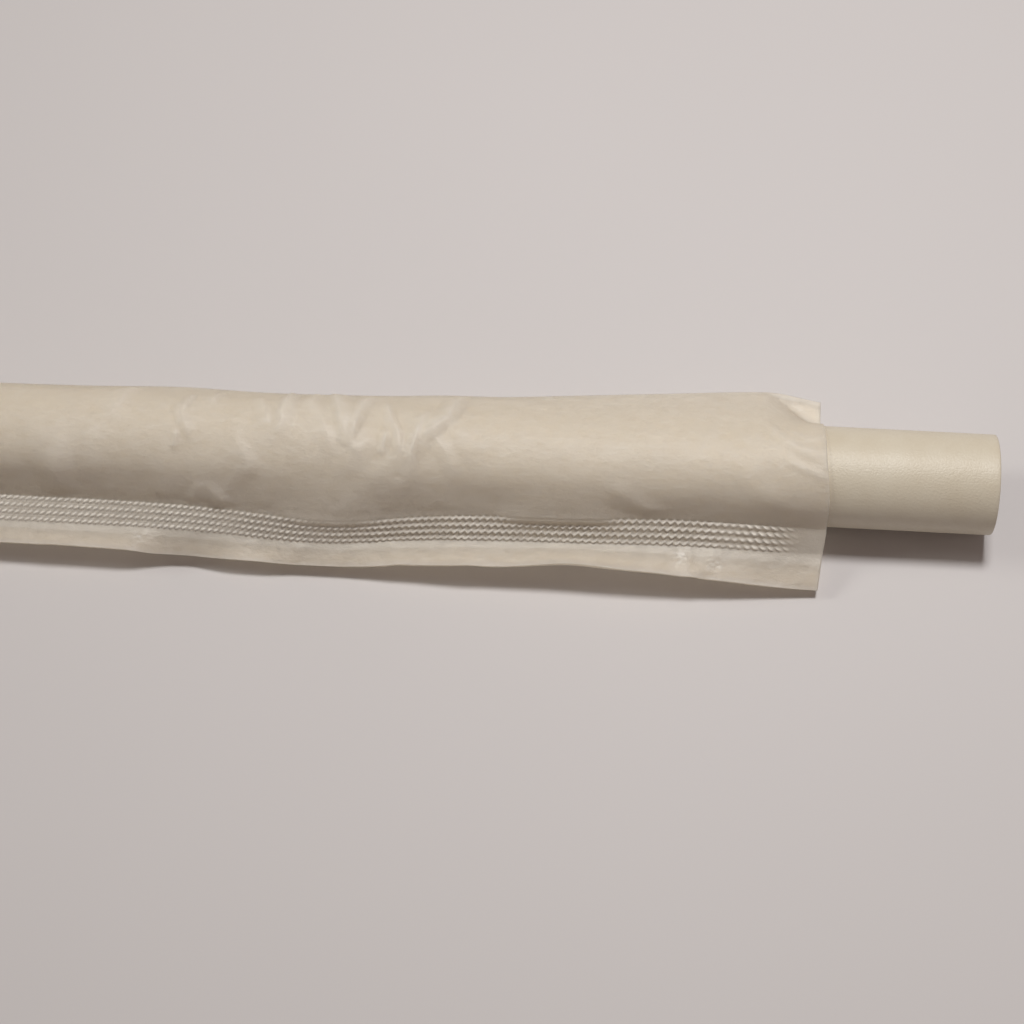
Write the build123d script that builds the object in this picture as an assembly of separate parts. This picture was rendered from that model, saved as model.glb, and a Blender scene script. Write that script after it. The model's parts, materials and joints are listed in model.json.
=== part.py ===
"""A jumbo paper drinking straw, part way out of its paper wrapper.

The straw is one wound paper tube, open at both ends.
The wrapper is one sheet of thin paper, folded lengthwise round the straw.
Its two long edges are crimped together as a flat seam with a plain margin outside it.
One end of the wrapper is still pressed shut, and the straw stands out of the other, its mouth.

Frame, in millimetres: +X runs along the straw towards its bare tip, +Z is up.
The origin lies on the flat strip that the wrapper rests on, under the straw's axis, half way
along the wrapper.
"""

import os
from collections import namedtuple
from math import acos, atan, atan2, cos, degrees, radians, sin, sqrt

from build123d import *

# Straw
STRAW_DIAMETER = 12.0
STRAW_WALL = 0.45
STRAW_LENGTH = 210.0
STRAW_BARE = 20.2  # how much of it stands out of the wrapper's mouth

# Wrapper paper, and the two strips of its seam
PLY = 0.08
CRIMP_BAND = 3.5
MARGIN = 3.8

# Wrapper, along its length
WRAPPER_LENGTH = 228.0
PRESSED_LENGTH = 8.0  # two plies pressed shut at the closed end
TAPER_LENGTH = 9.0  # from the round sleeve down to the pressed end
MOUTH_SKEW = 3.5  # degrees, the mouth is not cut quite square

# Fit and rest
STRAW_CLEARANCE = 0.15
REST_HALF_WIDTH = 1.8  # the sleeve lies on a narrow flat strip
TAIL_HEIGHT = 3.0  # height of the pressed end above the table
PRESSED_SHIFT = 1.3  # its middle lies this far to the fold's side
SLIT_HALF_HEIGHT = 0.02  # the cavity closes to this at the pressed end
MOUTH_OVERRUN = 4.0  # length modelled past the mouth, then cut off

# The wrapper's wander, each row one station: distance back from the mouth, how far the fold
# stands off the straw, how slack the lower ply hangs behind it from 0 to 1, and the heights of
# the seam's outer bend and of its cut edge above the table.
WANDER = [
    (99.0, 0.25, 1.0, 2.3, 3.4),
    (66.0, 0.65, 0.9, 1.6, 1.7),
    (41.0, 1.25, 0.8, 2.2, 2.7),
    (26.5, 2.3, 0.5, 3.0, 4.9),
    (14.5, 3.15, 0.2, 2.6, 3.4),
    (8.0, 3.6, 0.0, 2.2, 2.4),
]
MOUTH_HEIGHTS = (1.8, 1.3)  # bend and edge, at the mouth
FOLD_ANGLE = 20.0  # of the fold above the horizontal, seen from the straw's axis
ROOT_ANGLE = 212.0  # of the root, where the two plies meet at the inside of the seam
ROOT_STANDOFF = 1.2
SLACK_REST = 2.8  # fully slack, the lower ply lies this much further out on the table
SLACK_KNEE = (0.9, 2.1)  # and its knee is this far off the straw's side, and off the table

sleeve_radius = STRAW_DIAMETER / 2 + STRAW_CLEARANCE
axis_height = PLY + sleeve_radius
centre = Vector(0, axis_height)
mouth_x = WRAPPER_LENGTH / 2
closed_x = -WRAPPER_LENGTH / 2
tip_x = mouth_x + STRAW_BARE

# A section of the wrapper is drawn along the inside face of its paper, in (Y, Z).
# The upper ply runs from the fold over the straw to the root. The lower ply runs from the root
# under the straw and, past a knee, back to the fold. Outside the root the plies touch.
Section = namedtuple("Section", "fold back front root bend edge rest_front rest_back knee round")


def polar(angle, distance):
    """A point seen from the straw's axis, at an angle in degrees above the horizontal."""
    return centre + Vector(cos(radians(angle)), sin(radians(angle))) * distance


def touch_angle(point, turn):
    """Angle of the point where a line from outside touches the sleeve, to one side or the other."""
    arm = point - centre
    return degrees(atan2(arm.Y, arm.X) + turn * acos(sleeve_radius / arm.length))


def seam_step(start, length, height):
    """The point one flat step of the seam further out, at a given height above the table."""
    rise = height - start.Y
    return Vector(start.X - sqrt(length**2 - rise**2), height)


def sleeve(fold_standoff, slack, bend_height, edge_height):
    """A section with the straw's round sleeve, the upper ply drawn tight from fold to root."""
    fold = polar(FOLD_ANGLE, sleeve_radius + fold_standoff)
    root = polar(ROOT_ANGLE, sleeve_radius + ROOT_STANDOFF)
    bend = seam_step(root, CRIMP_BAND, bend_height)
    # The lower ply lifts off the table at the end of the rest strip and follows the straw round
    # to the point where it leaves for the fold.
    lift = degrees(2 * atan(REST_HALF_WIDTH / sleeve_radius)) - 90
    leave = max(lift, touch_angle(fold, -1))
    tight_knee = polar((leave + lift) / 2, sleeve_radius / cos(radians(leave - lift) / 2))
    slack_knee = Vector(sleeve_radius + SLACK_KNEE[0], PLY + SLACK_KNEE[1])
    return Section(
        fold,
        polar(touch_angle(fold, 1), sleeve_radius),
        polar(touch_angle(root, -1), sleeve_radius),
        root,
        bend,
        seam_step(bend, MARGIN, edge_height),
        Vector(-REST_HALF_WIDTH, PLY),
        Vector(REST_HALF_WIDTH + slack * SLACK_REST, PLY),
        tight_knee * (1 - slack) + slack_knee * slack,
        True,
    )


def pressed(tube_width, gap):
    """The flat section at the closed end, with the two plies a given distance from its middle."""
    fold_y = tube_width / 2 + PRESSED_SHIFT

    def across(share, height=0):
        return Vector(fold_y - share * tube_width, TAIL_HEIGHT + height)

    root = across(1)
    bend = seam_step(root, CRIMP_BAND, TAIL_HEIGHT)
    return Section(
        across(0),
        across(0.3, gap),
        across(0.85, gap),
        root,
        bend,
        seam_step(bend, MARGIN, TAIL_HEIGHT),
        across(0.7, -gap),
        across(0.5, -gap),
        across(0.2, -gap),
        False,
    )


def over_straw(start, end, radius, is_round):
    """The upper ply's run over the top of the straw, or its flat run at the pressed end."""
    if not is_round:
        return Line(start, end)
    out = ((start + end) / 2 - centre).normalized()
    return ThreePointArc(start, centre + out * radius, end)


def inner_wire(s):
    """The cavity's outline at a section."""
    return Wire(
        [
            Line(s.fold, s.back),
            over_straw(s.back, s.front, sleeve_radius, s.round),
            Line(s.front, s.root),
            Line(s.root, s.rest_front),
            Line(s.rest_front, s.rest_back),
            Line(s.rest_back, s.knee),
            Line(s.knee, s.fold),
        ]
    )


def outward(start, end):
    """Unit normal to the right of the way from start to end."""
    return (end - start).normalized().rotate(Axis.Z, -90)


def mitre(point, one, other):
    """A corner moved out so that both sides beside it move by one ply, given their normals."""
    return point + (one + other) * (PLY / (1 + one.dot(other)))


def outer_wire(s):
    """The wrapper's outline at a section: the inside line moved out by one ply."""
    over_fold = outward(s.fold, s.back)
    over_root = outward(s.front, s.root)
    on_band = outward(s.root, s.bend)
    on_margin = outward(s.bend, s.edge)
    under_root = outward(s.root, s.rest_front)
    under = Vector(0, -1)
    under_back = outward(s.rest_back, s.knee)
    under_fold = outward(s.knee, s.fold)

    fold_low = s.fold + under_fold * PLY
    fold_high = s.fold + over_fold * PLY
    fold_nose = s.fold + (over_fold - under_fold).normalized().rotate(Axis.Z, -90) * PLY
    back = s.back + over_fold * PLY
    front = s.front + over_root * PLY
    corners = [
        front,
        mitre(s.root, over_root, on_band),
        mitre(s.bend, on_band, on_margin),
        s.edge + on_margin * PLY,
        s.edge - on_margin * PLY,
        mitre(s.bend, -on_band, -on_margin),
        mitre(s.root, -on_band, under_root),
        mitre(s.rest_front, under_root, under),
        mitre(s.rest_back, under, under_back),
        mitre(s.knee, under_back, under_fold),
        fold_low,
    ]
    return Wire(
        [
            ThreePointArc(fold_low, fold_nose, fold_high),
            Line(fold_high, back),
            over_straw(back, front, sleeve_radius + PLY, s.round),
        ]
        + [Line(a, b) for a, b in zip(corners, corners[1:])]
    )


def loft(stations, wire_of):
    """A solid drawn straight from each station's outline to the next."""
    planes = [Plane(origin=(x, 0, 0), x_dir=(0, 1, 0), z_dir=(1, 0, 0)) for x, _ in stations]
    return Solid.make_loft([plane * wire_of(s) for plane, (_, s) in zip(planes, stations)], ruled=True)


def make_straw():
    tube = Cylinder(STRAW_DIAMETER / 2, STRAW_LENGTH)
    tube -= Cylinder(STRAW_DIAMETER / 2 - STRAW_WALL, STRAW_LENGTH)
    return Pos(tip_x - STRAW_LENGTH / 2, 0, axis_height) * Rot(0, 90, 0) * tube


def make_wrapper():
    taper_x = closed_x + PRESSED_LENGTH
    sleeves = [(mouth_x - back, sleeve(*shape)) for back, *shape in WANDER]
    start = (taper_x + TAPER_LENGTH, sleeves[0][1])
    end = (mouth_x + MOUTH_OVERRUN, sleeve(*WANDER[-1][1:3], *MOUTH_HEIGHTS))
    tube = [start] + sleeves + [end]
    tube_width = inner_wire(start[1]).length / 2  # the same paper goes round the straw and lies flat
    shut = pressed(tube_width, 0)
    body = loft([(closed_x, shut), (taper_x, shut)] + tube, outer_wire)
    cavity = loft([(taper_x, pressed(tube_width, SLIT_HALF_HEIGHT))] + tube, inner_wire)

    # The mouth is one straight cut, a few degrees off square.
    knife = Box(40, 80, 80, align=(Align.MIN, Align.CENTER, Align.CENTER))
    return body - cavity - Pos(mouth_x, 0, 0) * Rot(0, 0, MOUTH_SKEW) * knife


os.makedirs("parts", exist_ok=True)
export_step(make_straw(), "parts/straw.step")
export_step(make_wrapper(), "parts/wrapper.step")
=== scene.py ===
# %% [markdown]
# # A paper straw, part way out of its paper wrapper
#
# This lesson builds the looks of a wide paper drinking straw and the thin paper wrapper it is
# sliding out of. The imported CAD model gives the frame: its sizes, its two moving bodies and its
# place on the table. We build two meshes by hand, one for each body, and give each a paper
# material made only of nodes.
#
# Lengths are worked out in millimetres, because that is how paper goods are measured, and each
# mesh is scaled to metres as it is made.

import json
import math

import bmesh
import bpy
import numpy as np
from mathutils import Matrix, Vector

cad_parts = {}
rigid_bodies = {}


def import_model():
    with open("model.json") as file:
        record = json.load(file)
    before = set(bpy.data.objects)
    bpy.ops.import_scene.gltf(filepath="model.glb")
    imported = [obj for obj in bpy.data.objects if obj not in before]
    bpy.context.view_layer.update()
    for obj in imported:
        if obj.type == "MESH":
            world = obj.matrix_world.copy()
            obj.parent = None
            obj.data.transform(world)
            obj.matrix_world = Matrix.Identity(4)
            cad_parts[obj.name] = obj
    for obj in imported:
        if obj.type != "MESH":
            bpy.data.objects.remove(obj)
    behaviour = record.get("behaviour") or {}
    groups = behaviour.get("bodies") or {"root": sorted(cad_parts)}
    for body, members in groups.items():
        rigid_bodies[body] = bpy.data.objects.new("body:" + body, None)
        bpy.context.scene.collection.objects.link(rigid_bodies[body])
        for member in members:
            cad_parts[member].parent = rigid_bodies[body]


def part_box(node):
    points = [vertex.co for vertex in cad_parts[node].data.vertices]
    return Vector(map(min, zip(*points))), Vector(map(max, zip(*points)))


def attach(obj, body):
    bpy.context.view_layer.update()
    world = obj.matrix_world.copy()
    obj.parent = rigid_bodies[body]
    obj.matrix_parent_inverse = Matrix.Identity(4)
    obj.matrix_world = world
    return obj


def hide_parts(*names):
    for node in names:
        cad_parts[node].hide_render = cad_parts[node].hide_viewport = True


for leftover in list(bpy.data.objects):
    bpy.data.objects.remove(leftover)
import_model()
bpy.context.view_layer.update()

# %% [markdown]
# ## Where things are
#
# Every place comes from the CAD boxes. X runs along the straw, Z is up, and the seam is on the
# -Y side. The wrapper's mouth is where the bare length of straw begins.

# %% Measure the frame
MM = 0.001
straw_low, straw_high = [np.array(corner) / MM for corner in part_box("straw")]
STRAW_RADIUS = (straw_high[2] - straw_low[2]) / 2
AXIS_Z = (straw_high[2] + straw_low[2]) / 2
TIP_X = straw_high[0]
BUTT_X = straw_low[0]
CLOSED_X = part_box("wrapper")[0][0] / MM
BARE_LENGTH = 20.2  # of the straw, outside the wrapper
MOUTH_X = round(TIP_X - BARE_LENGTH, 1)
print(f"straw radius {STRAW_RADIUS:.2f}, axis height {AXIS_Z:.2f} mm")
print(f"closed end at {CLOSED_X:.1f}, mouth at {MOUTH_X:.1f}, straw's tip at {TIP_X:.1f} mm")

# %% [markdown]
# ## Turning rows of points into a mesh
#
# Both pieces are skins: rows of points along X, joined by faces. Where two neighbouring strips
# have different numbers of points, a zip joins them: it walks up both edges at once and always
# steps on the side that is behind, making one triangle per step. That keeps the mesh closed while
# the fine crimps get many points and the plain paper few.


# %% A small skin builder
class Skin:
    """Collects points in millimetres and faces, and makes one smooth mesh object from them."""

    def __init__(self):
        self.blocks = []
        self.marks = {}
        self.faces = []
        self.count = 0

    def add(self, points):
        """Adds an array of points, shape (rows, columns, 3), and returns their indices."""
        ids = np.arange(self.count, self.count + points.shape[0] * points.shape[1])
        self.count += len(ids)
        self.blocks.append(points.reshape(-1, 3))
        return ids.reshape(points.shape[:2])

    def quads(self, ids, flip=False):
        """Faces between all neighbours in a grid of indices."""
        a, b, c, d = ids[:-1, :-1], ids[1:, :-1], ids[1:, 1:], ids[:-1, 1:]
        corners = np.stack([a, d, c, b] if flip else [a, b, c, d], axis=-1)
        self.faces.extend(corners.reshape(-1, 4).tolist())

    def zip(self, left, left_at, right, right_at, flip=False):
        """Triangles between two edges, given each edge's indices and its positions along X."""
        i = j = 0
        while i < len(left) - 1 or j < len(right) - 1:
            step_left = j == len(right) - 1 or (i < len(left) - 1 and left_at[i + 1] <= right_at[j + 1])
            if step_left:
                face = [left[i], left[i + 1], right[j]]
                i += 1
            else:
                face = [left[i], right[j + 1], right[j]]
                j += 1
            self.faces.append([int(v) for v in (face[::-1] if flip else face)])

    def mark(self, name, ids, values):
        """Notes a number for each of these points, kept in the mesh as an attribute."""
        self.marks.setdefault(name, []).append((np.ravel(ids), np.ravel(values)))

    def make(self, name):
        """Makes the mesh, turns its faces outward and counts the edges that stay open."""
        mesh = bpy.data.meshes.new(name)
        mesh.from_pydata((np.concatenate(self.blocks) * MM).tolist(), [], self.faces)
        for mark, entries in self.marks.items():
            numbers = np.zeros(self.count)
            for ids, values in entries:
                numbers[ids] = values
            mesh.attributes.new(mark, "FLOAT", "POINT").data.foreach_set("value", numbers)
        mesh.validate()
        shape = bmesh.new()
        shape.from_mesh(mesh)
        bmesh.ops.recalc_face_normals(shape, faces=shape.faces)
        open_edges = sum(len(edge.link_faces) != 2 for edge in shape.edges)
        print(f"{name}: {open_edges} open edges, {shape.calc_volume() * 1e9:.0f} cubic mm of paper")
        shape.to_mesh(mesh)
        shape.free()
        mesh.shade_smooth()
        piece = bpy.data.objects.new(name, mesh)
        bpy.context.scene.collection.objects.link(piece)
        triangles = sum(len(p.vertices) - 2 for p in mesh.polygons)
        print(f"{name}: {len(mesh.vertices)} points, {triangles} triangles")
        return piece


def ease(x, start, end):
    """0 before start, 1 after end, and a smooth rise between them."""
    t = np.clip((np.asarray(x, float) - start) / (end - start), 0, 1)
    return t * t * (3 - 2 * t)


def wander(x, table, blur=3.0):
    """A smooth curve near the points of a table of (x, value)."""
    grid = np.arange(CLOSED_X - 30, MOUTH_X + 30, 0.5)
    values = np.interp(grid, *zip(*table))
    reach = np.arange(-4 * blur, 4 * blur + 0.5, 0.5)
    weights = np.exp(-((reach / blur) ** 2) / 2)
    pad = len(reach) // 2
    smooth = np.convolve(np.pad(values, pad, mode="edge"), weights / weights.sum(), "valid")
    return np.interp(x, grid, smooth)


# %% [markdown]
# ## The straw
#
# A paper straw is three long strips of paper wound in a spiral and glued into one tube. After
# gluing it is cut to length, so its two ends are square, with a hair of rounding where the knife
# pressed, and the end faces show the plies as thin rings. We turn a profile round the axis: in
# through the bore, round the cut edge, and back along the outside. A cylinder with a Solidify
# modifier would be quicker, but its ends would be blank. The tube is very slightly out of round
# and its outside carries the spiral line where one strip butts against the next.

# %% The profile of a cut end
PLY_OF_STRAW = 0.15
STRAW_WALL = 0.45


def end_profile(side):
    """(distance in from the cut, radius) from the bore round the cut edge to the outside."""
    inner, outer = STRAW_RADIUS - STRAW_WALL, STRAW_RADIUS
    rows = [(2.0, inner), (0.5, inner), (0.12, inner + 0.01), (0.03, inner + 0.05)]
    for ply in (1, 2):
        groove = inner + ply * PLY_OF_STRAW
        rows += [(0.0, groove - 0.035), (0.035, groove), (0.0, groove + 0.035)]
    rows += [(0.01, outer - 0.10), (0.05, outer - 0.035), (0.14, outer - 0.005)]
    rows += [(0.5, outer), (1.2, outer)]
    return rows[::side]


print(len(end_profile(1)), "points from the bore to the outside")

# %% Turn the straw
WIND_PITCH = 34.0  # the outer strip comes round once in this length
POINTS_AROUND = 144
OUT_OF_ROUND = 0.02
BUTT_DEPTH, BUTT_WIDTH = 0.022, 0.16  # of the line where one strip meets the next


def straw_skin():
    skin = Skin()
    around = np.linspace(0, 2 * math.pi, POINTS_AROUND, endpoint=False)
    stations = [(TIP_X - d, r) for d, r in end_profile(1)]
    stations += [(x, STRAW_RADIUS) for x in np.linspace(TIP_X - 3, BUTT_X + 3, 240)]
    stations += [(BUTT_X + d, r) for d, r in end_profile(-1)]
    stations += [(x, STRAW_RADIUS - STRAW_WALL) for x in np.linspace(BUTT_X + 6, TIP_X - 6, 16)]
    rows = []
    for x, r in stations:
        oval = OUT_OF_ROUND * np.cos(2 * (around - 0.4)) * (0.4 + 0.6 * ease(x, TIP_X - 40, TIP_X))
        seam_at = 2 * math.pi * (x - TIP_X) / WIND_PITCH + 2.2
        away = (around - seam_at + math.pi) % (2 * math.pi) - math.pi
        outside = r > STRAW_RADIUS - 0.06
        butt = -BUTT_DEPTH * np.exp(-((away * STRAW_RADIUS / BUTT_WIDTH) ** 2)) if outside else 0.0
        radius = r + oval + butt
        y, z = radius * np.cos(around), AXIS_Z + radius * np.sin(around)
        rows.append(np.stack([np.full_like(around, x), y, z], -1))
    ids = skin.add(np.array(rows))
    skin.quads(np.pad(ids, ((0, 1), (0, 1)), "wrap"), flip=True)
    return skin.make("straw_tube")


straw = straw_skin()
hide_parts("straw")
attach(straw, "straw")

# %% [markdown]
# ## The wrapper's path round the straw
#
# The wrapper is one sheet, folded along the far side and crimped along the near side. We describe
# how it lies with a cross-section that changes along X: a fold point, the round of the straw, the
# root of the seam where the two plies meet, and the seam reaching out from it. A cloth simulation
# could wrap a flat sheet, but its bends would land where they liked. Tables of (x, value) put
# each bend where it belongs, and always give the same sheet.

# %% How the wrapper wanders
OVER_RADIUS = 6.16  # outside of the upper ply, over the straw
UNDER_RADIUS = 6.30
SHEET = 0.07
BAND = 3.2  # usual width of the crimped band
SEAM = 7.0  # and of the whole seam, with its plain margin
FOLD_ANGLE = [(-99, 20), (98, 21), (108, 8), (120, 8)]
FOLD_REACH = [
    (-99, 6.45), (15, 6.3), (28, 6.55), (37, 7.0), (46, 6.65), (52, 6.75), (64, 7.1), (69, 7.65),
    (73, 7.4), (88, 8.5), (98, 9.2), (103, 9.75), (108, 10.35), (120, 10.35),
]
SLACK = [(-99, 1.0), (46, 0.9), (73, 0.7), (88, 0.4), (100, 0.15), (107, 0.0)]
BULGE = [
    (-99, 0.3), (15, 0.1), (40, 0.1), (50, 0.3), (59, 0.3), (66, 0.1), (75, 0.1), (80, 0.4),
    (86, 0.4), (91, 0.1), (112, 0.0),
]
# How far the slack sleeve bellies out over the first crimped row.
COVER = [
    (-99, 0.0), (49, 0.0), (53, 0.35), (59, 0.35), (63, 0.0), (75, 0.0), (78, 0.55), (87.5, 0.55),
    (89.5, 0.0), (120, 0.0),
]
# The line where the band ends and the margin begins: how far out and how high it runs.
BEND_Y = [
    (-99, -9.6), (10, -9.8), (18, -10.0), (30, -9.9), (40, -10.05), (46, -10.1), (52, -10.5),
    (57, -10.4), (64, -9.4), (70, -9.55), (76, -9.4), (83, -9.15), (88, -9.25), (94, -9.0),
    (106, -8.85), (113, -8.6),
]
BEND_Z = [
    (-99, 2.8), (-40, 3.4), (10, 3.6), (18, 3.8), (40, 3.7), (46, 3.0), (64, 2.7), (70, 3.7),
    (76, 3.8), (83, 3.65), (88, 4.0), (99, 3.95), (106, 3.5), (110, 2.9), (113, 2.85),
]
BAND_FALL = [
    (-99, 28), (18, 28), (33, 35), (40, 38), (46, 47), (57, 56), (64, 56), (70, 47), (76, 47),
    (83, 51), (88, 49), (94, 46), (106, 47), (112, 52),
]
MARGIN_RISE = [
    (-99, -14), (-50, -2), (-20, -20), (5, -12), (18, -4), (32.9, -4), (34.1, -27), (40, -37),
    (45, -12), (52, -22), (57, -17), (63, 1), (76, 5), (83, 21), (88, 14), (94, 10), (100, -2),
    (106, -13), (112, -20),
]
BAND_WIDTH = [(-99, 3.05), (60, 3.05), (85, 3.25), (114, 3.3)]
MARGIN_WIDTH = [
    (-99, 3.6), (-30, 3.2), (18, 2.75), (30, 3.0), (45, 3.05), (56, 2.7), (64, 3.5), (76, 3.5),
    (88, 3.7), (94, 4.0), (106, 4.25), (113, 4.45),
]
print("crimped band", BAND, "mm wide, whole seam", SEAM, "mm")


# %% Places and lines round the straw
def polar(angle, reach):
    """The (y, z) place at an angle from +Y and a distance from the straw's axis."""
    turn = math.radians(angle)
    return np.array([reach * math.cos(turn), AXIS_Z + reach * math.sin(turn)])


def tangent_angle(point, radius, turn):
    """Angle on a circle round the straw's axis where a line from a point outside touches it."""
    arm = point - np.array([0, AXIS_Z])
    reach = max(np.hypot(*arm), radius * 1.0001)
    return math.degrees(math.atan2(arm[1], arm[0]) + turn * math.acos(radius / reach))


def arc(from_angle, to_angle, radius):
    """Points every couple of degrees along an arc round the straw's axis."""
    angles = np.linspace(from_angle, to_angle, max(2, int(abs(to_angle - from_angle) / 2)))
    return [polar(a, radius) for a in angles]


def read_off(line, marks, at):
    """The (y, z) points of a line at new places, given the marks beside its own points."""
    return np.stack([np.interp(at, marks, line[:, k]) for k in (0, 1)], 1)


def spaced(points, step):
    """The same line as points an even distance apart."""
    points = np.asarray(points)
    marks = np.concatenate([[0], np.cumsum(np.hypot(*np.diff(points, axis=0).T))])
    at = np.linspace(0, marks[-1], max(2, int(round(marks[-1] / step)) + 1))
    return read_off(points, marks, at)


# %% [markdown]
# A cross-section is drawn from these tables at any place along the sheet. The upper ply leaves the
# fold on a line that touches the straw, goes over it, and leaves it again for the seam's root. The
# lower ply either hugs the straw or hangs slack and lies on the table. Each line is then sampled
# at fixed shares of its length, so the mesh's edges run along the paper.

# %% The fold and the seam
# Where the flap at the mouth has its fold and its parting: (y, height above the axis).
FLAP_FOLD, FLAP_PART = (9.36, 0.75), (6.35, 0.3)


def fold_line(x):
    """The fold, the point where the two plies part, and how far they are pinched together
    between the two, which they are only near the mouth."""
    fold = polar(wander(x, FOLD_ANGLE), wander(x, FOLD_REACH))
    pinch = ease(x, 106.2, 114.5)
    drop = ease(x, 107, 116)
    fold = fold * (1 - drop) + np.array([FLAP_FOLD[0], AXIS_Z + FLAP_FOLD[1]]) * drop
    part = fold * (1 - pinch) + np.array([FLAP_PART[0], AXIS_Z + FLAP_PART[1]]) * pinch
    return fold, part, pinch


def seam_line(x):
    """Middle line of the seam and its upward normal, at many distances out from the root."""
    out = np.linspace(0, SEAM, 141)
    fall, rise = wander(x, BAND_FALL), wander(x, MARGIN_RISE, 1.0)
    slope = np.radians(-fall + (rise + fall) * ease(out, BAND - 0.12, BAND + 0.30))
    slope += np.radians(5 * math.sin(x * 0.31) * ease(out, BAND + 1, SEAM))
    band, margin = wander(x, BAND_WIDTH) / BAND, wander(x, MARGIN_WIDTH) / (SEAM - BAND)
    step = out[1] * np.where(out < BAND, band, margin)
    y = -np.concatenate([[0], np.cumsum(np.cos(slope) * step)[:-1]])
    z = np.concatenate([[0], np.cumsum(np.sin(slope) * step)[:-1]])
    y += wander(x, BEND_Y) - np.interp(BAND, out, y)
    z += wander(x, BEND_Z) - np.interp(BAND, out, z)
    normal = np.stack([np.sin(slope), np.cos(slope)], 1)
    cover = wander(x, COVER, 1.0) * (1 - ease(out, 0.25, 1.1))
    return out, np.stack([y, z], 1) + normal * cover[:, None], normal


# %% One cross-section
STEP = 0.1  # between the points a section is worked out with
ABOVE_TABLE = 0.01
# The way down from the fold, and along the table, that slack paper takes: (y, z).
HANGING = ((7.1, 5.4), (7.25, 3.0), (6.6, 1.2), (5.2, 0.3), (3.0, 0.03), (-1.2, 0.03))


def section(x):
    """Points of the upper ply and the lower ply at one place along the wrapper, then the seam's
    distances out from the root, its middle line and its upward normals."""
    fold, part, pinch = fold_line(x)
    out, seam, normal = seam_line(x)
    back = (part - fold) if pinch > 0.02 else np.array([-1.0, 0.2 if fold[1] < AXIS_Z else -0.3])
    back = back / np.hypot(*back)
    side = np.array([-back[1], back[0]])
    if side[1] < 0:
        side = -side
    nose, heel = [
        [fold, fold + back * 0.05 + away * 0.06, fold + back * 0.14 + away * 0.08]
        for away in (side, -side)
    ]
    if pinch > 0.02:
        nose.append(part + side * 0.08)
        heel.append(part - side * 0.08)
    top = seam + normal * SHEET
    low = seam - normal * SHEET
    over_from = tangent_angle(nose[-1], OVER_RADIUS, 1)
    over_to = tangent_angle(top[0], OVER_RADIUS, -1) % 360
    over = arc(over_from, over_to, OVER_RADIUS)
    upper = spaced(nose + over + [top[0]], STEP)
    share = np.linspace(0, 1, len(upper))
    belly = wander(x, BULGE) * np.sin(np.pi * np.clip((share - 0.52) / 0.46, 0, 1)) ** 1.5
    away = upper - np.array([0, AXIS_Z])
    upper = upper + away / np.hypot(*away.T)[:, None] * belly[:, None]
    slack = wander(x, SLACK)
    hug_from = tangent_angle(heel[-1], UNDER_RADIUS, -1)
    hug_to = tangent_angle(low[0], UNDER_RADIUS, 1) % 360 - 360
    hug = spaced(heel + arc(hug_from, hug_to, UNDER_RADIUS) + [low[0]], STEP)
    hang = heel + [np.array(place) for place in HANGING]
    hang = spaced(hang + arc(-102, hug_to, UNDER_RADIUS) + [low[0]], STEP)
    share = np.linspace(0, 1, 200)
    hug, hang = [read_off(way, np.linspace(0, 1, len(way)), share) for way in (hug, hang)]
    lower = spaced(hug * (1 - slack) + hang * slack, STEP)
    lower[:, 1] = np.maximum(lower[:, 1], ABOVE_TABLE)
    return upper, lower, out, seam, normal


over, under = [len(ply) * STEP for ply in section(60.0)[:2]]
print(f"60 mm along, the upper ply is {over:.0f} mm wide and the lower ply {under:.0f} mm")

# %% [markdown]
# ## Creases
#
# Thin paper that has been gripped and pushed along a tube buckles into creases: sharp ridges with
# a flat facet on each side. A crease is a line on the sheet with a height, and a width on each
# side over which the paper comes back down. We write a place on the sleeve as (distance along X,
# distance round from the line that faces up and forward). Each crease adds a tent to the sheet,
# sharp at its ridge. The paper can stand proud of the straw but not sink into it. Shallower
# buckles, made as folded waves, lie among the creases where the sleeve was gripped. Sculpting
# would reach the same look by hand, but a crease kept as one row of numbers is easy to move.

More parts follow.
